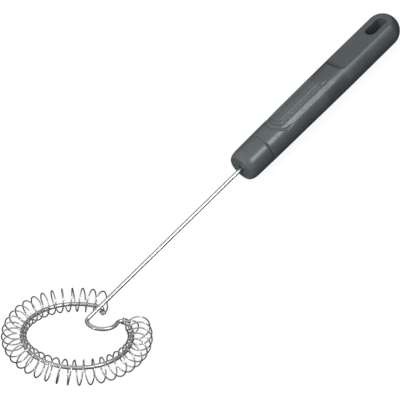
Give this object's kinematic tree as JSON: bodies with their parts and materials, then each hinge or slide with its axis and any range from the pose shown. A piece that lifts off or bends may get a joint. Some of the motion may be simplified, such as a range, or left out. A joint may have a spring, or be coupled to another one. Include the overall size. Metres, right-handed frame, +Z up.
{
  "type": "milk frother",
  "caption": "Hand milk frother: a wire coil wound round a ring of thicker wire, on a long shaft with a plastic handle that has a thumb flat and a hanging slot.",
  "frame": {"origin": "centre of the bottom of the box round the part, as it lies on a table", "axes": "+Z up from the table, +X along the shaft from the whisk head towards the handle's round end, +Y across"},
  "size_m": [0.2812, 0.0726, 0.0379],
  "materials": {
    "handle_plastic": "satin moulded grey plastic",
    "ferrule_plastic": "satin moulded grey plastic",
    "frame_steel": "polished stainless wire",
    "coil_steel": "polished stainless wire"
  },
  "bodies": {
    "root": {"handle_body": "handle_plastic", "front_ferrule": "ferrule_plastic", "whisk_frame": "frame_steel", "beater_coil": "coil_steel"}
  },
  "joints": []
}
